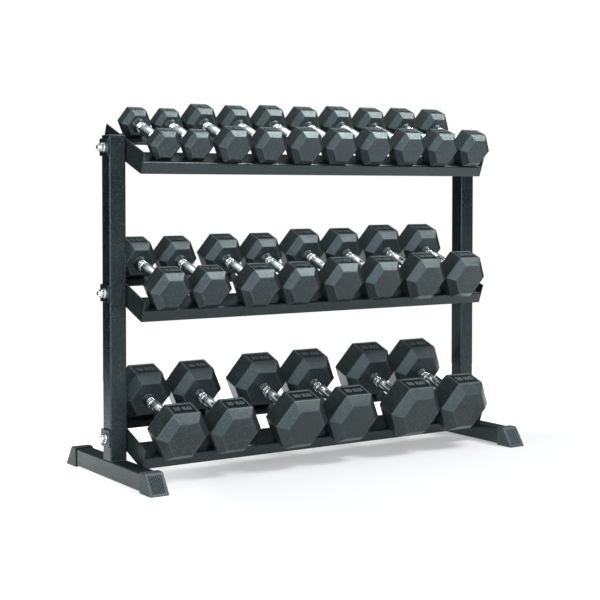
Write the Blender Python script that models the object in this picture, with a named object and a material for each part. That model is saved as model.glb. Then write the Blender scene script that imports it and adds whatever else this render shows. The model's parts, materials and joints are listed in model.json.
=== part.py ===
"""Three-tier dumbbell rack with its set of hexagonal dumbbells.

Units are metres. +X runs along the rack to the right, +Y to the rear and +Z up.
The origin is on the floor, midway between the two posts.
Run with: blender --background --python part.py
"""

import math

import bmesh
import bpy
from mathutils import Vector

# Driving dimensions
GAP = 0.0003                # clearance between pieces that touch on the real rack
TUBE = 0.050                # outside of the square tube of the posts and the base
TUBE_WALL = 0.002
TUBE_CORNER = 0.004
POST_SPACING = 1.250        # post centre to post centre
POST_TOP = 0.952
CAP_THICK = 0.003
CAP_PLUG = 0.018

BASE_LENGTH = 0.540         # along the floor, over both boots
BOOT_WALL = 0.0035          # rubber under, over and beside the base tube
BOOT_COVER = 0.066          # how far a boot runs along the floor
BOOT_SLOPE = 0.038          # how far its sloping end leans back
TUBE_IN_BOOT = 0.022

TIER_NAMES = ("low", "middle", "top")
LOWEST_BOLT = 0.116         # height of the lowest tier's bolts
TIER_PITCH = 0.401
TILT = math.radians(20.5)   # the tiers lean down to the front

PLATE_AHEAD = 0.132         # end plate in front of its bolt, along the slope
PLATE_BEHIND = 0.118
PLATE_HEIGHT = 0.060
PLATE_THICK = 0.004
RAIL_DROP = 0.0255          # rail floor below the end plate's upper edge
RAIL_FLOOR = 0.084          # width of a rail's floor
RAIL_THICK = 0.003
RAIL_BEND = 0.006           # outside radius of the fold

BACKING_SIZE = (0.054, 0.048)
BACKING_THICK = 0.005
BOLT_RADIUS = 0.007
HEX_FLATS = 0.022           # bolt head and nut, across flats
HEAD_THICK = 0.008
NUT_THICK = 0.012
BOLT_END = 0.008            # thread showing past the nut

GRIP_GAP = 0.134            # between the two heads of a dumbbell
GRIP_RADIUS = 0.014
NECK_RADIUS = 0.0115
COLLAR_RADIUS = 0.0165
CHAMFER = 0.155             # of the head's size across flats

# Each size: across flats, length of one head, how far the pair sits ahead of the bolts
SIZES = {
    "low": ((0.142, 0.103, 0.009), (0.154, 0.109, 0.020), (0.162, 0.115, 0.026)),
    "middle": ((0.109, 0.082, 0.003), (0.116, 0.086, 0.014), (0.124, 0.089, 0.009), (0.133, 0.095, 0.014)),
    "top": ((0.082, 0.055, 0.005), (0.095, 0.070, 0.006), (0.100, 0.073, 0.009),
            (0.104, 0.076, 0.006), (0.105, 0.080, 0.003)),
}
# From the tube's inner face to the first head, then between the two of a pair
FIRST_GAP = {"low": 0.0130, "middle": 0.0115, "top": 0.0255}
PAIR_GAP = {"low": 0.003, "middle": 0.003, "top": 0.007}
# Between neighbouring pairs
NEXT_GAPS = {"low": (0.040, 0.040), "middle": (0.019, 0.012, 0.003), "top": (0.007, 0.007, 0.007, 0.007)}

ROUND_STEPS = 12            # points round a turned or hexagonal section
HOLE_STEPS = 24

# Worked out from the above
RAIL_LEVEL = PLATE_HEIGHT / 2 - RAIL_DROP
INNER_FACE = POST_SPACING / 2 - TUBE / 2
TUBE_TOP = BOOT_WALL + TUBE
BOOT_WIDTH = TUBE + 2 * BOOT_WALL
BOOT_HEIGHT = TUBE + 2 * BOOT_WALL
SIDES = {"left": -1, "right": 1}


def clear_scene():
    for thing in list(bpy.data.objects):
        bpy.data.objects.remove(thing, do_unlink=True)


def paint(name, colour, metallic, roughness):
    made = bpy.data.materials.new(name)
    made.use_nodes = True
    shader = made.node_tree.nodes["Principled BSDF"]
    shader.inputs["Base Color"].default_value = (*colour, 1.0)
    shader.inputs["Metallic"].default_value = metallic
    shader.inputs["Roughness"].default_value = roughness
    made.diffuse_color = (*colour, 1.0)
    return made


def place(name, mesh_data, material, location, parent=None):
    """An object from a bmesh, closed and facing outwards, with its own copy of the material."""
    bmesh.ops.recalc_face_normals(mesh_data, faces=mesh_data.faces)
    mesh = bpy.data.meshes.new(name)
    mesh_data.to_mesh(mesh)
    mesh_data.free()
    made = bpy.data.objects.new(name, mesh)
    bpy.context.scene.collection.objects.link(made)
    own = material.copy()
    own.name = name + "_material"
    mesh.materials.append(own)
    made.location = location
    made.parent = parent
    return made


def empty(name, location, tilt):
    made = bpy.data.objects.new(name, None)
    bpy.context.scene.collection.objects.link(made)
    made.location = location
    made.rotation_euler = (tilt, 0.0, 0.0)
    return made


def loft(sections, along):
    """One closed body through sections of equal point count, with a flat cap on each end.

    Each section is (distance, points), its points (a, b) lying across the axis.
    along turns (distance, a, b) into a place.
    """
    built = bmesh.new()
    rings = []
    for distance, points in sections:
        rings.append([built.verts.new(along(distance, a, b)) for a, b in points])
    count = len(rings[0])
    for near, far in zip(rings, rings[1:]):
        for k in range(count):
            m = (k + 1) % count
            built.faces.new((near[k], near[m], far[m], far[k]))
    built.faces.new(rings[0])
    built.faces.new(rings[-1])
    return built


def along_x(distance, a, b):
    return (distance, a, b)


def along_y(distance, a, b):
    return (a, distance, b)


def along_z(distance, a, b):
    return (a, b, distance)


def arc(centre, radius, start, end, steps=3):
    points = []
    for k in range(steps + 1):
        angle = math.radians(start + (end - start) * k / steps)
        points.append((centre[0] + radius * math.cos(angle), centre[1] + radius * math.sin(angle)))
    return points


def rounded_square(width, depth, corner):
    a = width / 2 - corner
    b = depth / 2 - corner
    points = []
    for centre, start in (((a, b), 0), ((-a, b), 90), ((-a, -b), 180), ((a, -b), 270)):
        points += arc(centre, corner, start, start + 90)
    return points


def circle(radius, steps=ROUND_STEPS):
    return [
        (radius * math.cos(2 * math.pi * k / steps), radius * math.sin(2 * math.pi * k / steps))
        for k in range(steps)
    ]


def hexagon(across_flats):
    """Its corners and the middles of its flats, with flats below and above."""
    points = []
    for k in range(ROUND_STEPS):
        reach = across_flats / math.sqrt(3) if k % 2 == 0 else across_flats / 2
        angle = 2 * math.pi * k / ROUND_STEPS
        points.append((reach * math.cos(angle), reach * math.sin(angle)))
    return points


def square_tube(start, end, along):
    """A straight length of the square tube, open at both ends."""
    outside = rounded_square(TUBE, TUBE, TUBE_CORNER)
    inside = rounded_square(TUBE - 2 * TUBE_WALL, TUBE - 2 * TUBE_WALL, TUBE_CORNER - TUBE_WALL)
    built = bmesh.new()
    rings = []
    for distance, points in ((start, outside), (end, outside), (end, inside), (start, inside)):
        rings.append([built.verts.new(along(distance, a, b)) for a, b in points])
    count = len(outside)
    for near, far in zip(rings, rings[1:] + rings[:1]):
        for k in range(count):
            m = (k + 1) % count
            built.faces.new((near[k], near[m], far[m], far[k]))
    return built


def cut(target, cutters):
    for number, cutter in enumerate(cutters):
        cutter.hide_render = True
        cutter.display_type = "WIRE"
        modifier = target.modifiers.new(f"cut_{number}", "BOOLEAN")
        modifier.operation = "DIFFERENCE"
        modifier.solver = "EXACT"
        modifier.object = cutter


def bolt_hole(name, centre, reach, parent=None):
    """A cutter along X for a bolt, with running clearance outside the faceted shank."""
    radius = (BOLT_RADIUS + GAP) / math.cos(math.pi / HOLE_STEPS)
    shape = loft([(-reach, circle(radius, HOLE_STEPS)), (reach, circle(radius, HOLE_STEPS))], along_x)
    return place(name, shape, steel, centre, parent)


def bolt_height(tier):
    return LOWEST_BOLT + TIER_PITCH * tier


def build_base(side, sign):
    x = sign * POST_SPACING / 2
    half = BASE_LENGTH / 2
    joint = half - BOOT_COVER
    tube_half = joint + TUBE_IN_BOOT
    middle = BOOT_WALL + TUBE / 2
    place(f"base_tube_{side}", square_tube(-tube_half, tube_half, along_y), coat, (x, 0, middle))
    for end, way in (("front", -1), ("rear", 1)):
        outline = [(way * joint, 0), (way * half, 0), (way * (half - BOOT_SLOPE), BOOT_HEIGHT), (way * joint, BOOT_HEIGHT)]
        shape = loft([(-BOOT_WIDTH / 2, outline), (BOOT_WIDTH / 2, outline)], along_x)
        boot = place(f"boot_{side}_{end}", shape, rubber, (x, 0, 0))
        room = rounded_square(TUBE + 2 * GAP, TUBE + 2 * GAP, TUBE_CORNER)
        pocket = loft([(way * (joint - BOOT_COVER / 2), room), (way * (tube_half + GAP), room)], along_y)
        cut(boot, [place(f"boot_{side}_{end}_pocket", pocket, rubber, (x, 0, middle))])


def build_post(side, sign):
    x = sign * POST_SPACING / 2
    tube_end = POST_TOP - CAP_THICK - GAP
    post = place(f"post_{side}", square_tube(TUBE_TOP + GAP, tube_end, along_z), coat, (x, 0, 0))
    cut(post, [
        bolt_hole(f"post_{side}_hole_{name}", (x, 0, bolt_height(tier)), TUBE)
        for tier, name in enumerate(TIER_NAMES)
    ])
    plug_width = TUBE - 2 * TUBE_WALL - 2 * GAP
    plug = rounded_square(plug_width, plug_width, TUBE_CORNER - TUBE_WALL)
    lid = rounded_square(TUBE, TUBE, TUBE_CORNER)
    shape = loft([
        (POST_TOP - CAP_THICK - CAP_PLUG, plug),
        (POST_TOP - CAP_THICK, plug),
        (POST_TOP - CAP_THICK, lid),
        (POST_TOP, lid),
    ], along_z)
    place(f"post_cap_{side}", shape, plastic, (x, 0, 0))


def build_rail(name, edge, way, parent):
    """A folded strip: a level floor for the heads, and a face turned down along its outer edge."""
    low = -PLATE_HEIGHT / 2
    inner_bend = RAIL_BEND - RAIL_THICK
    bend_centre = (edge - RAIL_BEND, RAIL_LEVEL - RAIL_BEND)
    outline = [(edge - RAIL_FLOOR, RAIL_LEVEL)]
    outline += arc(bend_centre, RAIL_BEND, 90, 0)
    outline += [(edge, low), (edge - RAIL_THICK, low)]
    outline += arc(bend_centre, inner_bend, 0, 90)
    outline += [(edge - RAIL_FLOOR, RAIL_LEVEL - RAIL_THICK)]
    outline = [(way * u, n) for u, n in outline]
    reach = INNER_FACE - PLATE_THICK - 2 * GAP
    place(name, loft([(-reach, outline), (reach, outline)], along_x), coat, (0, 0, 0), parent)


def build_end_plate(name, side, sign, parent):
    near = INNER_FACE - GAP - PLATE_THICK
    far = INNER_FACE - GAP
    half = PLATE_HEIGHT / 2
    outline = [(-PLATE_AHEAD, -half), (PLATE_BEHIND, -half), (PLATE_BEHIND, half), (-PLATE_AHEAD, half)]
    shape = loft([(sign * near, outline), (sign * far, outline)], along_x)
    plate = place(f"{name}_end_plate_{side}", shape, coat, (0, 0, 0), parent)
    cut(plate, [bolt_hole(f"{name}_end_plate_{side}_hole", (sign * far, 0, 0), PLATE_THICK * 2, parent)])


def build_fixing(name, side, sign, height):
    """The bolt with its nut run home on it, and the plate that spreads its load on the post."""
    x = sign * POST_SPACING / 2
    outer = TUBE / 2 + GAP
    width, tall = BACKING_SIZE
    outline = rounded_square(width, tall, 0.003)
    shape = loft([(sign * outer, outline), (sign * (outer + BACKING_THICK), outline)], along_x)
    backing = place(f"{name}_backing_plate_{side}", shape, coat, (x, 0, height))
    hole_at = (x + sign * outer, 0, height)
    cut(backing, [bolt_hole(f"{name}_backing_plate_{side}_hole", hole_at, BACKING_THICK * 2)])

    under_head = -(TUBE / 2 + PLATE_THICK + 2 * GAP)
    under_nut = outer + BACKING_THICK + GAP
    over_nut = under_nut + NUT_THICK
    tip = over_nut + BOLT_END
    shank = circle(BOLT_RADIUS)
    hexed = hexagon(HEX_FLATS)
    eased = hexagon(HEX_FLATS * 0.9)
    sections = [
        (under_head - HEAD_THICK, eased),
        (under_head - HEAD_THICK * 0.8, hexed),
        (under_head, hexed),
        (under_head, shank),
        (under_nut, shank),
        (under_nut, hexed),
        (over_nut - NUT_THICK * 0.15, hexed),
        (over_nut, eased),
        (over_nut, shank),
        (tip - 0.001, shank),
        (tip, circle(BOLT_RADIUS - 0.001)),
    ]
    turned = [(sign * distance, points) for distance, points in sections]
    place(f"{name}_bolt_{side}", loft(turned, along_x), zinc, (x, 0, height))


def dumbbell_shape(across_flats, head_length):
    """Two hexagonal heads joined by a handle that swells in the middle, lying along Y."""
    inner = GRIP_GAP / 2
    bevel = across_flats * CHAMFER
    full = hexagon(across_flats)
    small = hexagon(across_flats - 2 * bevel)
    half = [
        (inner + head_length, small),
        (inner + head_length - bevel, full),
        (inner + bevel, full),
        (inner, small),
        (inner, circle(COLLAR_RADIUS)),
        (inner - 0.006, circle(COLLAR_RADIUS)),
        (inner - 0.010, circle(NECK_RADIUS)),
        (inner - 0.026, circle(NECK_RADIUS)),
        (inner - 0.034, circle(GRIP_RADIUS)),
    ]
    mirrored = [(-distance, points) for distance, points in reversed(half)]
    return loft(half + mirrored, along_y)


def pair_places(name):
    """Across the tier, the centre of each dumbbell and its size, from the left."""
    placed = []
    edge = -INNER_FACE + FIRST_GAP[name]
    for number, size in enumerate(SIZES[name]):
        reach = size[0] / math.sqrt(3)
        first = edge + reach
        second = first + 2 * reach + PAIR_GAP[name]
        placed += [(first, size), (second, size)]
        if number < len(NEXT_GAPS[name]):
            edge = second + reach + NEXT_GAPS[name][number]
    return placed


def build_dumbbells(name, parent):
    for number, (x, size) in enumerate(pair_places(name), start=1):
        across_flats, head_length, ahead = size
        centre = (x, -ahead, RAIL_LEVEL + GAP + across_flats / 2)
        shape = dumbbell_shape(across_flats, head_length)
        place(f"{name}_dumbbell_{number}", shape, iron, centre, parent)


def build_tier(tier, name):
    height = bolt_height(tier)
    frame = empty(f"{name}_tier", (0, 0, height), TILT)
    build_rail(f"{name}_rail_front", PLATE_AHEAD, -1, frame)
    build_rail(f"{name}_rail_rear", PLATE_BEHIND, 1, frame)
    for side, sign in SIDES.items():
        build_end_plate(name, side, sign, frame)
        build_fixing(name, side, sign, height)
    build_dumbbells(name, frame)


clear_scene()
coat = paint("powder_coat", (0.035, 0.042, 0.045), 0.35, 0.48)
rubber = paint("boot_rubber", (0.10, 0.11, 0.11), 0.0, 0.7)
plastic = paint("cap_plastic", (0.20, 0.21, 0.22), 0.0, 0.5)
steel = paint("cutter_steel", (0.5, 0.5, 0.5), 0.0, 0.5)
zinc = paint("zinc_plate", (0.72, 0.73, 0.74), 1.0, 0.3)
iron = paint("rubbered_iron", (0.055, 0.06, 0.063), 0.0, 0.6)
for side_name, side_sign in SIDES.items():
    build_base(side_name, side_sign)
    build_post(side_name, side_sign)
for tier_number, tier_name in enumerate(TIER_NAMES):
    build_tier(tier_number, tier_name)
bpy.context.view_layer.update()
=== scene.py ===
"""Looks of the three-tier dumbbell rack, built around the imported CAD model.

Units are metres, in the CAD model's frame: +X to the right, +Y to the rear, +Z up.
A tier's own frame has its origin on the line between its two bolts, Y up the slope to the
rear and Z square to the slope.
"""

import json
import math

import bmesh
import bpy
from mathutils import Matrix, Vector


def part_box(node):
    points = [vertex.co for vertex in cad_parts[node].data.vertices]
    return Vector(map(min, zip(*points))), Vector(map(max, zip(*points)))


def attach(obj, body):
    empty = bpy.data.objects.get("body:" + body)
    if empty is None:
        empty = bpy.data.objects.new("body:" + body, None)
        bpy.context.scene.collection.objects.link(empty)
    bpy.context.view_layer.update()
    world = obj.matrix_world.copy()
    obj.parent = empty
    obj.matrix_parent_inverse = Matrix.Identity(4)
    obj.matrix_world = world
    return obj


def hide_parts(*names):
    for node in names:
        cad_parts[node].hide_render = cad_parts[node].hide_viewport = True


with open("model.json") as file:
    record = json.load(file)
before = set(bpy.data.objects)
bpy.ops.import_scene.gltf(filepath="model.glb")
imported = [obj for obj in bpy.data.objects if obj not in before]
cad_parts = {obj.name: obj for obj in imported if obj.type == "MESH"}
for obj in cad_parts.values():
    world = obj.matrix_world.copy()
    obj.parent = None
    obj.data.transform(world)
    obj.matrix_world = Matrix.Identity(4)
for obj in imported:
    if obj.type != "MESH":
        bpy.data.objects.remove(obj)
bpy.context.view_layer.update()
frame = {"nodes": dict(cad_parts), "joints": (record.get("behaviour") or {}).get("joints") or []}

TIERS = ("low", "middle", "top")
SIDES = {"left": -1, "right": 1}

# Sizes that the CAD model has and its boxes don't show
GAP = 0.0003                # clearance between pieces that touch on the real rack
TUBE_WALL = 0.002
TUBE_CORNER = 0.004
TUBE_IN_BOOT = 0.022
BOOT_SLOPE = 0.038          # how far a boot's sloping end leans back
CAP_LID = 0.003
SHEET = 0.003               # rail strip
RAIL_BEND = 0.006
BOLT_RADIUS = 0.007
BOLT_END = 0.008            # thread showing past the nut
HEX_FLATS = 0.022           # bolt head and nut, across flats
HEAD_THICK = 0.008
NUT_THICK = 0.012
GRIP_GAP = 0.134            # between the two heads of a dumbbell
CHAMFER = 0.155             # of a head's size across flats

# Details that only the looks have
CORNER_STEPS = 6            # of a quarter turn
ROUND = 48                  # points round a turned piece
SHARP = math.radians(50.0)  # edges that turn by more are shaded sharp
TUBE_LIP = 0.0004           # eased off the ends of a tube
WASHER_THICK = 0.0022
WASHER_RADIUS = 0.0141
THREAD_PITCH = 0.002
THREAD_DEPTH = 0.0011
RIB_BORDER = 0.0055         # plain rubber round a boot's ribbed panel
RIB_PITCH = 0.0056
RIB_LEAN = math.radians(44.0)
RIB_GROOVE = 0.0016
RIB_CUTS = 84               # of a boot's sloping face, each way
RIPPLE = 0.0024             # from one ripple of a weld bead to the next
POST_BEAD = 0.0024          # radius of the posts' weld beads
RAIL_BEAD = 0.0018
PANEL_DEPTH = 0.0020        # of the sunk panel on a head's upper flat
PANEL_DRAFT = 0.0008        # how far its sides lean in
PANEL_RIM = 0.0012          # rounding of its rim
NUMERAL_SPAN = (0.80, 0.62) # of the panel's length across the head and along it
FIRST_GROOVE = 0.0145       # where the handle's first groove starts, out of a head
RINGS_LENGTH = 0.0356       # out of a head, up to the knurled grip
GROOVE_RADIUS = 0.0121      # the handle is thinner than this in its grooves
GRIP_RADIUS = 0.0156
GRIP_SWELL = 0.0010         # thicker than that at its middle
GRIP_RIDGES = 32            # of the knurl, round the grip
GRIP_RELIEF = 0.00025
KNURL_PITCH = 0.00285       # along the grip, a little less than round it
# Generic weights in kg on the heads, one for each pair from the left
WEIGHTS = {"low": (25, 30, 35), "middle": (12, 14, 16, 20), "top": (5, 7, 8, 9, 10)}

COOL = (0.77, 0.96, 1.0)    # tint of the sheen on the dark finishes
PANEL, NUMERALS, EDGES = 1, 2, 3    # a head's materials after its rubber, in the order its mesh has them

FLOOR_RADIUS = 2.4
SHADE_CENTRE = (0.25, -0.45, 0.0)   # middle of the duller floor that the rack's shadows fall on
FLOOR_SHIFT = (0.25, -0.15)         # from there to the middle of the whole floor
SHADE_WIDENING = (0.75, 1.0, 1.0)   # distances across the rack count for less, so the dull floor is oval
SHADE_EDGE = (0.55, 1.2)            # the glow grows from the first distance to the second
FLOOR_GLOW = (0.38, 1.45)           # at those two distances


# ---------------------------------------------------------------- materials

class Paint:
    """One procedural material: its tree, its shader, and short ways to add nodes."""

    def __init__(self, name, metallic=0.0, specular=0.5, tint=(1.0, 1.0, 1.0)):
        self.material = bpy.data.materials.new(name)
        self.material.use_nodes = True
        self.tree = self.material.node_tree
        self.shader = self.tree.nodes["Principled BSDF"]
        self.shader.inputs["Metallic"].default_value = metallic
        self.shader.inputs["Specular IOR Level"].default_value = specular
        self.shader.inputs["Specular Tint"].default_value = (*tint, 1.0)
        self.place = self.tree.nodes.new("ShaderNodeTexCoord").outputs["Object"]

    def link(self, output, socket):
        self.tree.links.new(output, socket)

    def noise(self, scale, detail=2.0, stretch=None):
        made = self.tree.nodes.new("ShaderNodeTexNoise")
        made.inputs["Scale"].default_value = scale
        made.inputs["Detail"].default_value = detail
        place = self.place
        if stretch:
            mapping = self.tree.nodes.new("ShaderNodeMapping")
            mapping.inputs["Scale"].default_value = stretch
            self.link(self.place, mapping.inputs["Vector"])
            place = mapping.outputs["Vector"]
        self.link(place, made.inputs["Vector"])
        return made.outputs["Fac"]

    def cells(self, scale, smooth=0.6):
        made = self.tree.nodes.new("ShaderNodeTexVoronoi")
        made.feature = "SMOOTH_F1"
        made.inputs["Scale"].default_value = scale
        made.inputs["Smoothness"].default_value = smooth
        self.link(self.place, made.inputs["Vector"])
        return made.outputs["Distance"]

    def spread(self, value, low, high, to_low=0.0, to_high=1.0):
        """value from low..high spread over to_low..to_high."""
        made = self.tree.nodes.new("ShaderNodeMapRange")
        for key, number in (("From Min", low), ("From Max", high), ("To Min", to_low), ("To Max", to_high)):
            made.inputs[key].default_value = number
        self.link(value, made.inputs["Value"])
        return made.outputs["Result"]

    def mix(self, share, first, second):
        """first, a colour or an output, shading into the colour second as share goes to 1."""
        made = self.tree.nodes.new("ShaderNodeMix")
        made.data_type = "RGBA"
        colours = [socket for socket in made.inputs if socket.type == "RGBA"]
        if isinstance(first, tuple):
            colours[0].default_value = (*first, 1.0)
        else:
            self.link(first, colours[0])
        colours[1].default_value = (*second, 1.0)
        self.link(share, made.inputs["Factor"])
        return next(socket for socket in made.outputs if socket.type == "RGBA")

    def bump(self, height, depth, under=None):
        """A bump that is depth metres high, over the bump called under."""
        made = self.tree.nodes.new("ShaderNodeBump")
        made.inputs["Strength"].default_value = 1.0
        made.inputs["Distance"].default_value = depth
        self.link(height, made.inputs["Height"])
        if under:
            self.link(under, made.inputs["Normal"])
        return made.outputs["Normal"]

    def finish(self, colour, roughness, normal):
        self.link(colour, self.shader.inputs["Base Color"])
        self.link(roughness, self.shader.inputs["Roughness"])
        self.link(normal, self.shader.inputs["Normal"])
        return self.material


def powder_coat():
    """Satin black coat with the speckle of a textured powder, and faint rubbed patches."""
    paint = Paint("powder_coat", tint=COOL)
    grain = paint.noise(1100.0, 3.0)
    speckle = paint.noise(250.0, 3.0)
    patches = paint.noise(9.0, 4.0)
    rubs = paint.noise(60.0, 5.0, stretch=(0.15, 1.0, 1.0))
    colour = paint.mix(paint.spread(patches, 0.35, 0.7), (0.0035, 0.0048, 0.0052), (0.0055, 0.0074, 0.0079))
    colour = paint.mix(paint.spread(speckle, 0.56, 0.66, 0.0, 0.9), colour, (0.030, 0.038, 0.040))
    colour = paint.mix(paint.spread(rubs, 0.66, 0.8, 0.0, 0.35), colour, (0.045, 0.053, 0.055))
    roughness = paint.spread(patches, 0.3, 0.7, 0.26, 0.34)
    normal = paint.bump(grain, 0.00012, paint.bump(speckle, 0.0009))
    return paint.finish(colour, roughness, normal)


def head_rubber():
    """Moulded rubber over iron, pebbled all over, with a dull bloom in places."""
    paint = Paint("rubbered_iron", tint=COOL)
    pebbles = paint.cells(420.0, 0.4)
    fine = paint.noise(1500.0, 2.0)
    bloom = paint.noise(14.0, 5.0)
    speckle = paint.noise(250.0, 3.0)
    colour = paint.mix(paint.spread(bloom, 0.35, 0.7), (0.007, 0.0093, 0.0098), (0.011, 0.0142, 0.0148))
    colour = paint.mix(paint.spread(speckle, 0.56, 0.66, 0.0, 0.9), colour, (0.040, 0.050, 0.053))
    roughness = paint.spread(bloom, 0.3, 0.7, 0.31, 0.38)
    normal = paint.bump(fine, 0.00006, paint.bump(paint.spread(pebbles, 0.0, 0.6, 1.0, 0.0), 0.00022))
    normal = paint.bump(speckle, 0.0007, normal)
    return paint.finish(colour, roughness, normal)


def shaded_panel_rubber():
    """The smooth sunk panel of a head, much darker than the head's rubber: painted shade in the recess."""
    paint = Paint("head_panel_painted_shade", specular=0.12, tint=COOL)
    cloud = paint.noise(60.0, 4.0)
    fine = paint.noise(900.0, 2.0)
    colour = paint.mix(paint.spread(cloud, 0.35, 0.7), (0.003, 0.004, 0.0045), (0.005, 0.0065, 0.007))
    roughness = paint.spread(cloud, 0.3, 0.7, 0.30, 0.40)
    return paint.finish(colour, roughness, paint.bump(fine, 0.00005))


def worn_highlit_rubber(name, greyer):
    """Lighter rubber for the edges, and lighter still for the numerals and the panel's rim: rubbed wear, and
    painted highlight where they catch the light.
    """
    paint = Paint(name, tint=COOL)
    dark = tuple(part * greyer for part in (0.022, 0.027, 0.028))
    light = tuple(part * greyer for part in (0.038, 0.045, 0.046))
    cloud = paint.noise(90.0, 4.0)
    fine = paint.noise(1300.0, 2.0)
    colour = paint.mix(paint.spread(cloud, 0.35, 0.7), dark, light)
    roughness = paint.spread(cloud, 0.3, 0.7, 0.40, 0.55)
    return paint.finish(colour, roughness, paint.bump(fine, 0.00006))


def boot_groove_shade_rubber():
    """The bottoms of the boots' grooves, darker than the rest of the boot: painted shade, where the groove
    walls would shade them.
    """
    paint = Paint("boot_grooves_painted_shade", specular=0.2, tint=COOL)
    groove_mottle = paint.noise(200.0, 4.0)
    colour = paint.mix(paint.spread(groove_mottle, 0.35, 0.7), (0.006, 0.008, 0.009), (0.016, 0.019, 0.020))
    roughness = paint.spread(groove_mottle, 0.3, 0.7, 0.6, 0.8)
    return paint.finish(colour, roughness, paint.bump(groove_mottle, 0.0001))


def boot_rubber():
    """Grey moulded rubber with dust on it."""
    paint = Paint("boot_rubber", specular=0.35, tint=COOL)
    grain = paint.noise(900.0, 3.0)
    speckle = paint.noise(300.0, 3.0)
    dust = paint.noise(30.0, 5.0)
    colour = paint.mix(paint.spread(dust, 0.35, 0.72), (0.024, 0.030, 0.032), (0.035, 0.043, 0.045))
    colour = paint.mix(paint.spread(speckle, 0.5, 0.7, 0.0, 0.6), colour, (0.075, 0.090, 0.094))
    roughness = paint.spread(dust, 0.3, 0.7, 0.45, 0.58)
    return paint.finish(colour, roughness, paint.bump(grain, 0.00015, paint.bump(speckle, 0.0004)))


def cap_plastic():
    """Satin moulded plastic with a fine grain."""
    paint = Paint("cap_plastic", tint=COOL)
    grain = paint.noise(1400.0, 2.0)
    cloud = paint.noise(40.0, 3.0)
    colour = paint.mix(paint.spread(cloud, 0.3, 0.7), (0.030, 0.036, 0.037), (0.040, 0.046, 0.048))
    roughness = paint.spread(cloud, 0.3, 0.7, 0.36, 0.48)
    return paint.finish(colour, roughness, paint.bump(grain, 0.00012))


def zinc_plate():
    """Bright plated steel with a cool and a warm cast in patches, and fine drawn marks."""
    paint = Paint("zinc_bolts", metallic=1.0)
    patches = paint.noise(160.0, 4.0)
    marks = paint.noise(900.0, 2.0, stretch=(0.2, 1.0, 1.0))
    colour = paint.mix(paint.spread(patches, 0.35, 0.65), (0.72, 0.77, 0.81), (0.86, 0.86, 0.82))
    roughness = paint.spread(marks, 0.3, 0.7, 0.24, 0.42)
    return paint.finish(colour, roughness, paint.bump(marks, 0.00005))


def shaded_groove_metal():
    """The plate in the grooves between the handle's rings, darker and duller than the chrome: painted shade
    in the grooves.
    """
    paint = Paint("chrome_grooves_painted_shade", metallic=1.0)
    groove_shade_mottle = paint.noise(300.0, 4.0)
    colour = paint.mix(paint.spread(groove_shade_mottle, 0.35, 0.7), (0.10, 0.115, 0.12), (0.22, 0.24, 0.25))
    roughness = paint.spread(groove_shade_mottle, 0.3, 0.7, 0.35, 0.55)
    return paint.finish(colour, roughness, paint.bump(groove_shade_mottle, 0.00004))


def chrome():
    """Polished plate, hazed a little where hands rub it."""
    paint = Paint("chrome_grip", metallic=1.0)
    haze = paint.noise(55.0, 5.0)
    marks = paint.noise(1600.0, 2.0, stretch=(1.0, 0.12, 1.0))
    colour = paint.mix(paint.spread(haze, 0.3, 0.75), (0.90, 0.95, 0.97), (0.78, 0.83, 0.86))
    roughness = paint.spread(haze, 0.3, 0.75, 0.11, 0.22)
    return paint.finish(colour, roughness, paint.bump(marks, 0.00002))


def floor_paper():
    """Pale paper that glows, which is painted light: weakly near the rack, where its shadows fall, and more
    strongly away from it, which also lights the rack from below.
    """
    paint = Paint("floor_paper", specular=0.1)
    fibre = paint.noise(220.0, 3.0)
    tone = paint.noise(1.5, 2.0)
    colour = paint.mix(paint.spread(tone, 0.3, 0.7), (0.32, 0.32, 0.32), (0.34, 0.34, 0.34))
    narrowed = paint.tree.nodes.new("ShaderNodeVectorMath")
    narrowed.operation = "MULTIPLY"
    narrowed.inputs[1].default_value = SHADE_WIDENING
    paint.link(paint.place, narrowed.inputs[0])
    away = paint.tree.nodes.new("ShaderNodeVectorMath")
    away.operation = "LENGTH"
    paint.link(narrowed.outputs["Vector"], away.inputs[0])
    paint.shader.inputs["Emission Color"].default_value = (1.0, 1.0, 1.0, 1.0)
    glow = paint.spread(away.outputs["Value"], *SHADE_EDGE, *FLOOR_GLOW)
    paint.link(glow, paint.shader.inputs["Emission Strength"])
    roughness = paint.spread(fibre, 0.3, 0.7, 0.72, 0.8)
    return paint.finish(colour, roughness, paint.bump(fibre, 0.0001))


# ---------------------------------------------------------------- shapes

# Each of these puts (a, b) of a section at a distance along an axis
def along_x(distance, a, b):
    return (distance, a, b)


def along_y(distance, a, b):
    return (a, distance, b)


def along_z(distance, a, b):
    return (a, b, distance)


def skin(built, rings, closed=False):
    """A closed body over rings of equal vertex count, capped, or joined end to end if closed."""
    count = len(rings[0])
    pairs = list(zip(rings, rings[1:]))
    if closed:
        pairs.append((rings[-1], rings[0]))
    faces = []
    for near, far in pairs:
        for k in range(count):
            m = (k + 1) % count
            faces.append(built.faces.new((near[k], near[m], far[m], far[k])))
    if not closed:
        faces.append(built.faces.new(rings[0]))
        faces.append(built.faces.new(rings[-1]))
    bmesh.ops.recalc_face_normals(built, faces=faces)


def loft_into(built, sections, along, closed=False):
    """A closed body through sections, each (distance, its points (a, b))."""
    rings = [[built.verts.new(along(distance, a, b)) for a, b in points] for distance, points in sections]
    skin(built, rings, closed)


def loft(sections, along, closed=False):
    """A new bmesh with such a body."""
    built = bmesh.new()
    loft_into(built, sections, along, closed)
    return built


def ease(built, width, segments=2, sharper_than=30.0, material=-1):
    """Rounds every edge that turns by more than sharper_than degrees, in that material if it isn't -1."""
    limit = math.radians(sharper_than)
    edges = [e for e in built.edges if len(e.link_faces) == 2 and e.calc_face_angle() > limit]
    bmesh.ops.bevel(
        built, geom=edges, offset=width, offset_type="OFFSET", segments=segments,
        profile=0.5, affect="EDGES", clamp_overlap=True, material=material,
    )


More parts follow.
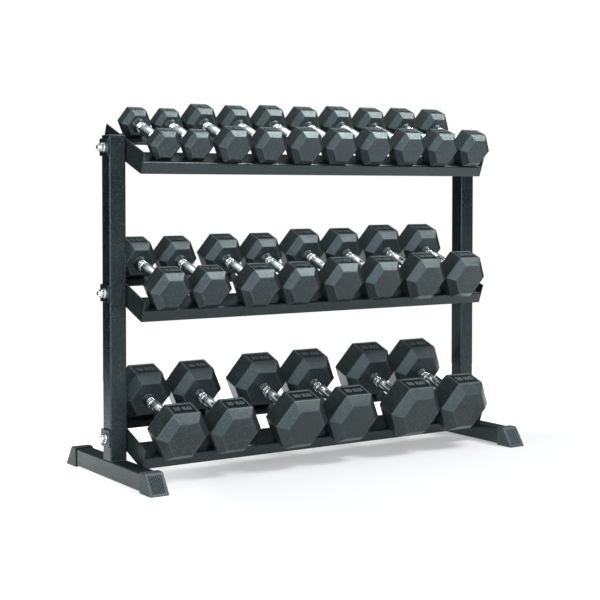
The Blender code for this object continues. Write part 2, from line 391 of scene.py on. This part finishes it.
def arc(centre, radius, start, end, steps=CORNER_STEPS):
    """Points on a circle, from start to end in degrees."""
    points = []
    for k in range(steps + 1):
        angle = math.radians(start + (end - start) * k / steps)
        points.append((centre[0] + radius * math.cos(angle), centre[1] + radius * math.sin(angle)))
    return points


def rounded_box(low, high, corner, steps=CORNER_STEPS):
    """A rectangle from low to high with round corners."""
    left, bottom = low[0] + corner, low[1] + corner
    right, top = high[0] - corner, high[1] - corner
    points = []
    for quarter, centre in enumerate(((right, top), (left, top), (left, bottom), (right, bottom))):
        points += arc(centre, corner, 90 * quarter, 90 * (quarter + 1), steps)
    return points


def grown(low, high, by):
    """The corners of a rectangle that is larger all round."""
    return (low[0] - by, low[1] - by), (high[0] + by, high[1] + by)


def circle(radius, count=ROUND):
    step = 2 * math.pi / count
    return [(radius * math.cos(step * k), radius * math.sin(step * k)) for k in range(count)]


def hexagon(across_flats, inside=None, count=6):
    """A hexagon with flats below and above. With inside, its corners are cut to that radius."""
    points = []
    for k in range(count):
        angle = 2 * math.pi * k / count
        off_flat = (angle % (math.pi / 3)) - math.pi / 6
        reach = across_flats / 2 / math.cos(off_flat)
        if inside:
            reach = min(reach, inside)
        points.append((reach * math.cos(angle), reach * math.sin(angle)))
    return points


def finished_mesh(name, built, *materials):
    """The bmesh as a smooth-shaded mesh whose sharp edges stay sharp."""
    mesh = bpy.data.meshes.new(name)
    built.to_mesh(mesh)
    built.free()
    for material in materials:
        mesh.materials.append(material)
    mesh.shade_smooth()
    mesh.set_sharp_from_angle(angle=SHARP)
    return mesh


def add_piece(name, mesh, body="rack", matrix=None, stands_for=()):
    """Puts a piece in the scene, on its body, in place of the nodes in stands_for."""
    piece = bpy.data.objects.new(name, mesh)
    bpy.context.scene.collection.objects.link(piece)
    piece.matrix_world = matrix or Matrix.Identity(4)
    level = piece.modifiers.new("normals", "WEIGHTED_NORMAL")
    level.keep_sharp = True
    bpy.context.view_layer.update()
    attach(piece, body)
    if stands_for:
        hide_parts(*stands_for)


def evaluated_mesh(thing):
    """A new mesh of what an object looks like with its modifiers."""
    bpy.context.view_layer.update()
    return bpy.data.meshes.new_from_object(thing.evaluated_get(bpy.context.evaluated_depsgraph_get()))


def cut_away(mesh, cutters):
    """mesh less the cutters, each a bmesh in the same frame."""
    target = bpy.data.objects.new("cutting", mesh)
    bpy.context.scene.collection.objects.link(target)
    tools = []
    for cutter in cutters:
        shape = bpy.data.meshes.new("cutter")
        cutter.to_mesh(shape)
        cutter.free()
        tool = bpy.data.objects.new("cutter", shape)
        bpy.context.scene.collection.objects.link(tool)
        tools.append(tool)
        modifier = target.modifiers.new("cut", "BOOLEAN")
        modifier.operation = "DIFFERENCE"
        modifier.solver = "EXACT"
        modifier.object = tool
    result = evaluated_mesh(target)
    result.name = mesh.name
    for thing in [target] + tools:
        shape = thing.data
        bpy.data.objects.remove(thing)
        bpy.data.meshes.remove(shape)
    result.shade_smooth()
    result.set_sharp_from_angle(angle=SHARP)
    return result


# ---------------------------------------------------------------- places, read from the CAD model

def corners_of(points):
    """The lowest and highest corners of the box round some points."""
    low = Vector([min(point[k] for point in points) for k in range(3)])
    high = Vector([max(point[k] for point in points) for k in range(3)])
    return low, high


def node_box(node, matrix):
    """A CAD node's lowest and highest corners, in the frame of matrix."""
    inverse = matrix.inverted()
    return corners_of([inverse @ vertex.co for vertex in frame["nodes"][node].data.vertices])


def centre_of(node):
    """The middle of a CAD node's box."""
    low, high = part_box(node)
    return (low + high) / 2


def tier_frame(name):
    """The tier's own frame. The dumbbells lift square to the slope, which gives its tilt."""
    joint = next(j for j in frame["joints"] if j["child"] == f"{name}_dumbbell_1")
    tilt = math.atan2(-joint["axis"][1], joint["axis"][2])
    bolt = centre_of(f"{name}_bolt_left")
    return Matrix.Translation((0, bolt.y, bolt.z)) @ Matrix.Rotation(tilt, 4, "X")


def dumbbells_of(tier):
    """A tier's dumbbell nodes, from the left."""
    return sorted(
        (node for node in frame["nodes"] if node.startswith(f"{tier}_dumbbell_")),
        key=lambda node: int(node.rsplit("_", 1)[1]),
    )


# ---------------------------------------------------------------- frame of the rack

def bolt_hole(centre, reach):
    """A cutter along X for a bolt's hole."""
    outline = circle(BOLT_RADIUS + GAP)
    cutter = loft([(centre.x - reach, outline), (centre.x + reach, outline)], along_x)
    bmesh.ops.translate(cutter, vec=(0, centre.y, centre.z), verts=cutter.verts)
    return cutter


def tube_mesh(name, start, end, low, high, along):
    """Square tube with its wall, from start to end, its outside lying between low and high."""
    outside = rounded_box(low, high, TUBE_CORNER)
    inside = rounded_box(*grown(low, high, -TUBE_WALL), TUBE_CORNER - TUBE_WALL)
    lip = rounded_box(*grown(low, high, -TUBE_LIP), TUBE_CORNER - TUBE_LIP)
    sections = [
        (start, lip), (start + TUBE_LIP, outside), (end - TUBE_LIP, outside),
        (end, lip), (end, inside), (start, inside),
    ]
    return finished_mesh(name, loft(sections, along, closed=True), coat)


def build_posts():
    """The posts, with holes for their bolts."""
    for side in SIDES:
        node = f"post_{side}"
        low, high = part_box(node)
        mesh = tube_mesh(node, low.z, high.z, low.xy, high.xy, along_z)
        mesh = cut_away(mesh, [bolt_hole(centre_of(f"{tier}_bolt_{side}"), 0.1) for tier in TIERS])
        add_piece(f"{node}_tube", mesh, stands_for=[node])


def build_bases():
    """The tubes along the floor that the posts stand on."""
    for side in SIDES:
        node = f"base_tube_{side}"
        low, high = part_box(node)
        mesh = tube_mesh(node, low.y, high.y, low.xz, high.xz, along_y)
        add_piece(f"{node}_length", mesh, stands_for=[node])


def build_caps():
    """A lid with softened edges over a plug that fits the post."""
    inset = TUBE_WALL + GAP
    lead_in = 0.001
    plug_corner = 0.002
    # How far over the lid's underside, and how far in from its edge there
    lid = (
        (0.0, 0.0004), (0.0004, 0.0), (0.0014, 0.0), (0.0021, 0.0003), (0.0026, 0.001),
        (0.0029, 0.002), (CAP_LID, 0.0035),
    )
    for side in SIDES:
        node = f"post_cap_{side}"
        low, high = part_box(node)
        lid_low = high.z - CAP_LID
        tip = rounded_box(*grown(low.xy, high.xy, -inset - lead_in), plug_corner)
        plug = rounded_box(*grown(low.xy, high.xy, -inset), plug_corner)
        sections = [(low.z, tip), (low.z + lead_in, plug), (lid_low, plug)]
        for rise, shrink in lid:
            sections.append((lid_low + rise, rounded_box(*grown(low.xy, high.xy, -shrink), TUBE_CORNER)))
        mesh = finished_mesh(node, loft(sections, along_z), plastic)
        add_piece(f"{node}_insert", mesh, stands_for=[node])


def rib_depth(across, up, width, height):
    """How deep the ribbed panel of a boot is sunk at a place on its sloping end."""
    run_out = 0.0012
    edge = min(across, width - across, up, height - up) - RIB_BORDER
    if edge <= 0:
        return 0.0
    phase = (across * math.cos(RIB_LEAN) - up * math.sin(RIB_LEAN)) / RIB_PITCH
    return RIB_GROOVE * min(1.0, edge / run_out) * (0.5 + 0.5 * math.cos(2 * math.pi * phase))


def build_boot(side, end, way):
    """A moulded foot: a sleeve over the tube, a sloping end with diagonal ribs, and a flared mouth."""
    node = f"boot_{side}_{end}"
    low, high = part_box(node)
    floor_end, joint = (low.y, high.y) if way < 0 else (high.y, low.y)
    top_end = floor_end - way * BOOT_SLOPE
    outline = [(joint, low.z), (floor_end, low.z), (top_end, high.z), (joint, high.z)]
    built = loft([(low.x, outline), (high.x, outline)], along_x)
    ease(built, width=0.0028, segments=3)

    # The sloping face is cut into a fine grid, and its ribs are pressed into that
    slope = Vector((0, way * (high.z - low.z), BOOT_SLOPE)).normalized()
    face = max(built.faces, key=lambda f: f.normal.dot(slope) * f.calc_area())
    normal = face.normal.copy()
    corners = [v.co.copy() for v in face.verts]
    bmesh.ops.subdivide_edges(built, edges=face.edges[:], cuts=RIB_CUTS, use_grid_fill=True)
    left, right = min(c.x for c in corners), max(c.x for c in corners)
    foot = min(corners, key=lambda c: c.z)
    rise_way = normal.cross(Vector((1, 0, 0)))
    rise_way = rise_way if rise_way.z > 0 else -rise_way
    height = max((c - foot).dot(rise_way) for c in corners)
    off_the_face = 1e-5
    for vertex in built.verts:
        if abs((vertex.co - foot).dot(normal)) > off_the_face:
            continue
        across = vertex.co.x - left if way < 0 else right - vertex.co.x
        up = (vertex.co - foot).dot(rise_way)
        if 0 < across < right - left and 0 < up < height:
            vertex.co -= normal * rib_depth(across, up, right - left, height)
    # Small cells sunk deep in a groove take material 1, the darker groove rubber: painted shade.
    largest_cell = 2e-6
    for cell in built.faces:
        sunk = -(cell.calc_center_median() - foot).dot(normal)
        if sunk > 0.55 * RIB_GROOVE and cell.calc_area() < largest_cell:
            cell.material_index = 1
    mesh = finished_mesh(node, built, rubber, grooves)

    # The hollow for the tube, a little wider at its mouth
    tube_low, tube_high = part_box(f"base_tube_{side}")
    room = rounded_box(*grown(tube_low.xz, tube_high.xz, GAP), TUBE_CORNER)
    mouth = rounded_box(*grown(tube_low.xz, tube_high.xz, 0.0018), TUBE_CORNER + 0.001)
    sections = [
        (joint - way * 0.01, mouth), (joint + way * 0.0004, mouth), (joint + way * 0.002, room),
        (joint + way * (TUBE_IN_BOOT + GAP), room),
    ]
    mesh = cut_away(mesh, [loft(sections, along_y)])
    add_piece(f"{node}_foot", mesh, stands_for=[node])


def build_rail(tier, matrix, end, way):
    """A folded strip: a level floor, and a face turned down along the tier's outer edge."""
    node = f"{tier}_rail_{end}"
    low, high = node_box(node, matrix)
    edge, inner = (-low.y, -high.y) if way < 0 else (high.y, low.y)
    bend = (edge - RAIL_BEND, high.z - RAIL_BEND)
    outline = [(inner, high.z)] + arc(bend, RAIL_BEND, 90, 0)
    outline += [(edge, low.z), (edge - SHEET, low.z)]
    outline += arc(bend, RAIL_BEND - SHEET, 0, 90) + [(inner, high.z - SHEET)]
    outline = [(way * u, n) for u, n in outline]
    built = loft([(low.x, outline), (high.x, outline)], along_x)
    ease(built, width=0.0006)
    mesh = finished_mesh(node, built, coat)
    add_piece(f"{node}_strip", mesh, matrix=matrix, stands_for=[node])


def build_end_plate(tier, matrix, side):
    """The plate that closes a tier's end and is bolted to the post."""
    node = f"{tier}_end_plate_{side}"
    low, high = node_box(node, matrix)
    outline = rounded_box((low.y, low.z), (high.y, high.z), 0.0015, 3)
    built = loft([(low.x, outline), (high.x, outline)], along_x)
    ease(built, width=0.0005)
    hole = bolt_hole(Vector(((low.x + high.x) / 2, 0, 0)), 0.02)
    mesh = cut_away(finished_mesh(node, built, coat), [hole])
    add_piece(f"{node}_side", mesh, matrix=matrix, stands_for=[node])


def build_backing_plate(tier, side):
    """The plate under the nut, on the post's outer face."""
    node = f"{tier}_backing_plate_{side}"
    low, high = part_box(node)
    outline = rounded_box(low.yz, high.yz, 0.003)
    built = loft([(low.x, outline), (high.x, outline)], along_x)
    ease(built, width=0.0008)
    mesh = cut_away(finished_mesh(node, built, coat), [bolt_hole(centre_of(node), 0.02)])
    add_piece(f"{node}_spreader", mesh, stands_for=[node])


def bolt_mesh():
    """Head, shank, washer, nut and threaded end, from the head at zero to the tip along +X."""
    low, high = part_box("low_bolt_right")
    length = high.x - low.x
    corner = HEX_FLATS / math.sqrt(3)
    face = HEX_FLATS / 2 * 0.94
    tip = circle(face * 0.97)

    def rounded_off(start, way):
        """Sections from a round face out to the full hexagon, like a turned bolt head's."""
        steps = 5
        rings = []
        for k in range(steps + 1):
            inside = face + (corner - face) * k / steps
            run = (inside - face) * math.tan(math.radians(30))
            rings.append((start + way * run, hexagon(HEX_FLATS, inside, ROUND)))
        return rings

    nut_end = length - BOLT_END
    washer_start = nut_end - NUT_THICK
    washer_end = washer_start + WASHER_THICK
    soft = 0.0003
    shank = circle(BOLT_RADIUS)
    washer = circle(WASHER_RADIUS)
    washer_face = circle(WASHER_RADIUS - soft)
    sections = [(0.0, tip)] + rounded_off(0.0002, 1)
    sections += [(HEAD_THICK, hexagon(HEX_FLATS, None, ROUND)), (HEAD_THICK, shank), (washer_start, shank)]
    sections += [(washer_start, washer_face), (washer_start + soft, washer)]
    sections += [(washer_end - soft, washer), (washer_end, washer_face)]
    sections += rounded_off(washer_end + 0.0006, 1) + list(reversed(rounded_off(nut_end - 0.0002, -1)))
    sections += [(nut_end, tip), (nut_end, circle(BOLT_RADIUS + 0.0008))]
    sections += [(nut_end - 0.0008, circle(BOLT_RADIUS - 0.0012))]
    steps = 34
    for k in range(steps):
        distance = nut_end - 0.0004 + (length - 0.0006 - nut_end) * k / (steps - 1)
        fade = min(1.0, (length - distance) / 0.0015)
        points = []
        for m in range(ROUND):
            turn = (distance / THREAD_PITCH - m / ROUND) % 1.0
            reach = BOLT_RADIUS - THREAD_DEPTH * abs(2 * turn - 1) - 0.0007 * (1 - fade)
            angle = 2 * math.pi * m / ROUND
            points.append((reach * math.cos(angle), reach * math.sin(angle)))
        sections.append((distance, points))
    sections.append((length, circle(BOLT_RADIUS * 0.72)))
    return finished_mesh("rack_bolt", loft(sections, along_x), zinc)


def build_bolts():
    """The bolts, each with its head against the end plate and its nut outside the post."""
    shape = bolt_mesh()
    for tier in TIERS:
        for side, sign in SIDES.items():
            node = f"{tier}_bolt_{side}"
            low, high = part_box(node)
            start = low.x if sign > 0 else high.x
            middle = (low + high) / 2
            matrix = Matrix.Translation((start, middle.y, middle.z))
            if sign < 0:
                matrix = matrix @ Matrix.Rotation(math.pi, 4, "Z")
            add_piece(f"{node}_and_nut", shape, matrix=matrix, stands_for=[node])


def bead_into(built, start, end, radius):
    """A straight rippled weld bead between two points, tapering at both."""
    total = (end - start).length
    ahead = (end - start).normalized()
    side = ahead.orthogonal().normalized()
    other = ahead.cross(side)
    steps = max(8, int(total / 0.0006))
    rings = []
    for k in range(steps + 1):
        travelled = total * k / steps
        place = start.lerp(end, min(1.0, travelled / total))
        taper = min(1.0, 0.25 + min(travelled, total - travelled) / 0.003)
        size = radius * taper * (1.0 + 0.13 * math.sin(2 * math.pi * travelled / RIPPLE))
        rings.append([built.verts.new(place + side * a + other * b) for a, b in circle(size, 10)])
    skin(built, rings)


def build_post_welds():
    """Welds along the front and the rear of each post's foot."""
    for side in SIDES:
        low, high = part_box(f"post_{side}")
        built = bmesh.new()
        inset = TUBE_CORNER * 0.8
        for y in (low.y, high.y):
            start, end = (Vector((x, y, low.z)) for x in (low.x + inset, high.x - inset))
            bead_into(built, start, end, POST_BEAD)
        mesh = finished_mesh(f"post_weld_{side}", built, coat)
        add_piece(f"post_weld_{side}", mesh)


def build_rail_welds(tier, matrix):
    """Short welds between a tier's rails and its end plates, under the floor and down inside the face."""
    built = bmesh.new()
    for end, way in (("front", -1), ("rear", 1)):
        low, high = node_box(f"{tier}_rail_{end}", matrix)
        edge = low.y if way < 0 else high.y
        under = high.z - SHEET
        inside = edge - way * SHEET
        for x in (low.x, high.x):
            near, far = (Vector((x, edge - way * inward, under)) for inward in (0.020, 0.070))
            upper, lower = (Vector((x, inside, z)) for z in (high.z - 0.012, low.z + 0.003))
            bead_into(built, near, far, RAIL_BEAD)
            bead_into(built, upper, lower, RAIL_BEAD)
    mesh = finished_mesh(f"{tier}_rail_welds", built, coat)
    add_piece(f"{tier}_rail_welds", mesh, matrix=matrix)


# ---------------------------------------------------------------- dumbbells

def number_mesh(text):
    """The text as a solid of letters about 1 high, with softened edges."""
    curve = bpy.data.curves.new("numerals", "FONT")
    curve.body = text
    curve.align_x = "CENTER"
    curve.size = 1.0
    curve.offset = 0.022
    curve.extrude = 0.04
    curve.bevel_depth = 0.015
    curve.bevel_resolution = 1
    curve.resolution_u = 4
    letters = bpy.data.objects.new("numerals", curve)
    bpy.context.scene.collection.objects.link(letters)
    mesh = evaluated_mesh(letters)
    bpy.data.objects.remove(letters)
    bpy.data.curves.remove(curve)
    return mesh


def add_numerals(built, text, centre, width, depth):
    """Raised numerals lying on the panel round centre, within width and depth."""
    mesh = number_mesh(text)
    low, high = corners_of([vertex.co for vertex in mesh.vertices])
    scale = min(width / (high.x - low.x), depth / (high.y - low.y))
    rise = PANEL_DEPTH + 0.0001
    matrix = Matrix.Translation(centre) @ Matrix.Diagonal((scale, scale, rise / (high.z - low.z), 1.0))
    matrix = matrix @ Matrix.Translation(-Vector(((low.x + high.x) / 2, (low.y + high.y) / 2, low.z)))
    mesh.transform(matrix)
    for polygon in mesh.polygons:
        polygon.material_index = NUMERALS
    built.from_mesh(mesh)
    bpy.data.meshes.remove(mesh)


def add_head(built, across_flats, length, way, text):
    """A hexagonal head chamfered at both ends, with a sunk panel and numerals on its upper flat."""
    bevel = across_flats * CHAMFER
    inner = GRIP_GAP / 2
    full = hexagon(across_flats)
    small = hexagon(across_flats - 2 * bevel)
    part = bmesh.new()
    places = ((inner, small), (inner + bevel, full), (inner + length - bevel, full), (inner + length, small))
    loft_into(part, [(way * distance, points) for distance, points in places], along_y)
    # The rounded edges take the lighter edge rubber: wear, and painted highlight where they catch the light.
    ease(part, width=0.0018, segments=3, sharper_than=20.0, material=EDGES)
    top = max(part.faces, key=lambda f: f.normal.z * f.calc_area())
    margin = 0.036 * across_flats + 0.0015
    bmesh.ops.inset_individual(part, faces=[top], thickness=margin, depth=0.0)
    rim = list(top.edges)
    bmesh.ops.inset_individual(part, faces=[top], thickness=PANEL_DRAFT, depth=-PANEL_DEPTH)
    # The panel's floor takes the darker panel material: painted shade in the recess.
    top.material_index = PANEL
    centre = top.calc_center_median()
    flat_width = across_flats / math.sqrt(3) - 2 * margin
    flat_depth = length - 2 * bevel - 2 * margin
    # The rim takes the numerals' lighter rubber: wear, and painted highlight where it catches the light.
    bmesh.ops.bevel(
        part, geom=rim, offset=PANEL_RIM, offset_type="OFFSET", segments=2,
        profile=0.5, affect="EDGES", clamp_overlap=True, material=NUMERALS,
    )
    foot = centre - Vector((0, 0, 0.0003))
    add_numerals(part, text, foot, flat_width * NUMERAL_SPAN[0], flat_depth * NUMERAL_SPAN[1])
    made = bpy.data.meshes.new("head")
    part.to_mesh(made)
    part.free()
    built.from_mesh(made)
    bpy.data.meshes.remove(made)


def turned(profile, way, count):
    """Sections along Y of a turned shape, from its (distance out of a head's inner face, radius)."""
    return [(way * (GRIP_GAP / 2 - distance), circle(radius, count)) for distance, radius in profile]


def heads_mesh(across_flats, length, text):
    """Both heads of a dumbbell, each with the rubber collar that its handle comes out of."""
    built = bmesh.new()
    collar = [
        (-0.002, 0.0205), (0.0002, 0.0205), (0.0010, 0.0190), (0.0026, 0.0174), (0.0052, 0.0158),
        (0.0078, 0.0144), (0.0090, 0.0134), (0.0094, 0.0122), (0.0090, 0.0112), (-0.002, 0.0112),
    ]
    for way in (-1, 1):
        add_head(built, across_flats, length, way, text)
        loft_into(built, turned(collar, way, ROUND), along_y)
    return finished_mesh(f"heads_{text.split()[0]}", built, iron, panel, numerals, worn_highlit_edges)


def handle_mesh():
    """The chromed handle: a neck and three rings at each end, and a knurled grip between them."""
    count = 2 * GRIP_RIDGES
    end = [
        (-0.003, 0.0104), (0.0, 0.0106), (0.0105, 0.0106), (0.0109, 0.0112),       # neck
        (0.0114, 0.0124), (0.0120, 0.0129), (0.0136, 0.0129), (0.0142, 0.0124),    # first ring
        (0.0147, 0.0112), (0.0152, 0.0102), (0.0176, 0.0102), (0.0181, 0.0114),    # groove
        (0.0186, 0.0134), (0.0192, 0.0141), (0.0214, 0.0143), (0.0220, 0.0138),    # second ring
        (0.0225, 0.0120), (0.0231, 0.0108), (0.0264, 0.0108), (0.0270, 0.0120),    # groove
        (0.0275, 0.0145), (0.0281, 0.0154), (0.0306, 0.0157), (0.0312, 0.0152),    # third ring
        (0.0317, 0.0140), (0.0322, 0.0134), (0.0334, 0.0134), (0.0339, 0.0142),    # shallow groove
        (0.0345, 0.0152), (0.0351, GRIP_RADIUS),                                   # up to the grip
    ]
    sections = turned(end, -1, count)
    reach = GRIP_GAP / 2 - RINGS_LENGTH
    rows = 2 * round(2 * reach / KNURL_PITCH)
    for row in range(rows + 1):
        distance = reach * (2 * row / rows - 1)
        swell = GRIP_SWELL * math.cos(math.pi * distance / (2 * reach)) ** 2
        points = []
        for k in range(count):
            raised = GRIP_RELIEF if (row + k) % 2 else -GRIP_RELIEF
            radius = GRIP_RADIUS + swell + raised
            angle = 2 * math.pi * k / count
            points.append((radius * math.cos(angle), radius * math.sin(angle)))
        sections.append((distance, points))
    sections += reversed(turned(end, 1, count))
    built = loft(sections, along_y)
    # Facets inside the grooves take material 1, the darker groove plate: painted shade.
    for facet in built.faces:
        place = facet.calc_center_median()
        if abs(place.y) < GRIP_GAP / 2 - FIRST_GROOVE and math.hypot(place.x, place.z) < GROOVE_RADIUS:
            facet.material_index = 1
    return finished_mesh("handle", built, bright, shaded_groove_plate)


def build_dumbbells():
    """The two dumbbells of a pair share one mesh for their heads, and all of them one handle."""
    handle = handle_mesh()
    for tier in TIERS:
        matrix = tier_frame(tier)
        for number, node in enumerate(dumbbells_of(tier)):
            low, high = node_box(node, matrix)
            text = f"{WEIGHTS[tier][number // 2]} KG"
            across_flats = high.z - low.z
            length = (high.y - low.y - GRIP_GAP) / 2
            if number % 2 == 0:
                heads = heads_mesh(across_flats, length, text)
            place = matrix @ Matrix.Translation((low + high) / 2)
            add_piece(f"{node}_heads", heads, node, place, stands_for=[node])
            add_piece(f"{node}_handle", handle, node, place, stands_for=[node])


# ---------------------------------------------------------------- studio

def build_floor():
    """A round floor. Its own origin is where the dull part of its material has its middle."""
    built = bmesh.new()
    right, ahead = FLOOR_SHIFT
    built.faces.new([built.verts.new((right + x, ahead + y, 0)) for x, y in circle(FLOOR_RADIUS, 96)])
    mesh = bpy.data.meshes.new("studio_floor")
    built.to_mesh(mesh)
    built.free()
    mesh.materials.append(floor_paper())
    floor = bpy.data.objects.new("studio_floor", mesh)
    bpy.context.scene.collection.objects.link(floor)
    floor.location = SHADE_CENTRE


def build_light(name, place, target, size, power, colour=(1.0, 1.0, 1.0)):
    """A soft box at place, facing target. The camera doesn't see it."""
    lamp = bpy.data.lights.new(name, "AREA")
    lamp.shape = "RECTANGLE"
    lamp.size, lamp.size_y = size
    lamp.energy = power
    lamp.color = colour
    holder = bpy.data.objects.new(name, lamp)
    bpy.context.scene.collection.objects.link(holder)
    holder.location = place
    holder.rotation_euler = (Vector(target) - Vector(place)).to_track_quat("-Z", "Y").to_euler()
    holder.visible_camera = False


def build_world():
    """White where the camera sees it, and a dim room with a brighter ceiling for the light."""
    world = bpy.data.worlds.new("studio")
    bpy.context.scene.world = world
    world.use_nodes = True
    tree = world.node_tree
    tree.nodes.clear()
    output = tree.nodes.new("ShaderNodeOutputWorld")
    room = tree.nodes.new("ShaderNodeBackground")
    white = tree.nodes.new("ShaderNodeBackground")
    choose = tree.nodes.new("ShaderNodeMixShader")
    rays = tree.nodes.new("ShaderNodeLightPath")
    ways = tree.nodes.new("ShaderNodeTexCoord")
    split = tree.nodes.new("ShaderNodeSeparateXYZ")
    ramp = tree.nodes.new("ShaderNodeValToRGB")
    dim, lit = ramp.color_ramp.elements
    dim.position = 0.22
    dim.color = (0.015, 0.019, 0.022, 1.0)
    lit.position = 0.8
    lit.color = (0.56, 0.61, 0.63, 1.0)
    white.inputs["Color"].default_value = (1.0, 1.0, 1.0, 1.0)
    tree.links.new(ways.outputs["Generated"], split.inputs["Vector"])
    tree.links.new(split.outputs["Z"], ramp.inputs["Fac"])
    tree.links.new(ramp.outputs["Color"], room.inputs["Color"])
    tree.links.new(rays.outputs["Is Camera Ray"], choose.inputs["Fac"])
    tree.links.new(room.outputs["Background"], choose.inputs[1])
    tree.links.new(white.outputs["Background"], choose.inputs[2])
    tree.links.new(choose.outputs["Shader"], output.inputs["Surface"])


def build_camera():
    """The photograph's view, worked out from the heads' corners and the posts' edges."""
    lens = bpy.data.cameras.new("camera")
    lens.sensor_width = 36.0
    lens.lens = 81.2
    lens.shift_y = -0.1044
    lens.clip_end = 200.0
    camera = bpy.data.objects.new("camera", lens)
    bpy.context.scene.collection.objects.link(camera)
    camera.location = (-2.2517, -3.3967, 0.7983)
    camera.rotation_euler = (math.radians(90.0 - 1.97), 0.0, math.radians(-33.42))
    bpy.context.scene.camera = camera


# ---------------------------------------------------------------- the scene

coat = powder_coat()
iron = head_rubber()
panel = shaded_panel_rubber()
numerals = worn_highlit_rubber("head_numerals_worn_highlit", 2.0)
worn_highlit_edges = worn_highlit_rubber("head_edges_worn_highlit", 1.0)
grooves = boot_groove_shade_rubber()
rubber = boot_rubber()
plastic = cap_plastic()
zinc = zinc_plate()
bright = chrome()
shaded_groove_plate = shaded_groove_metal()

build_posts()
build_bases()
build_caps()
for side_name in SIDES:
    build_boot(side_name, "front", -1)
    build_boot(side_name, "rear", 1)
build_bolts()
build_post_welds()
for tier_name in TIERS:
    tier_matrix = tier_frame(tier_name)
    build_rail(tier_name, tier_matrix, "front", -1)
    build_rail(tier_name, tier_matrix, "rear", 1)
    build_rail_welds(tier_name, tier_matrix)
    for side_name in SIDES:
        build_end_plate(tier_name, tier_matrix, side_name)
        build_backing_plate(tier_name, side_name)
build_dumbbells()

build_floor()
build_light("key", place=(1.55, -1.6, 2.85), target=(0.0, 0.0, 0.9), size=(1.2, 1.2), power=150.0)
build_light(
    "fill", place=(-1.45, -3.05, 1.15), target=(0.0, -0.2, 0.75), size=(2.6, 2.2), power=92.0,
    colour=(0.82, 0.94, 1.0),
)
build_light("left card", place=(-3.0, -0.9, 1.0), target=(0.0, 0.0, 0.6), size=(1.0, 2.0), power=60.0)
build_light("overhead", place=(0.0, 0.7, 4.0), target=(0.0, 0.1, 0.0), size=(2.6, 2.6), power=45.0)
build_world()
build_camera()
bpy.context.scene.view_settings.view_transform = "Standard"
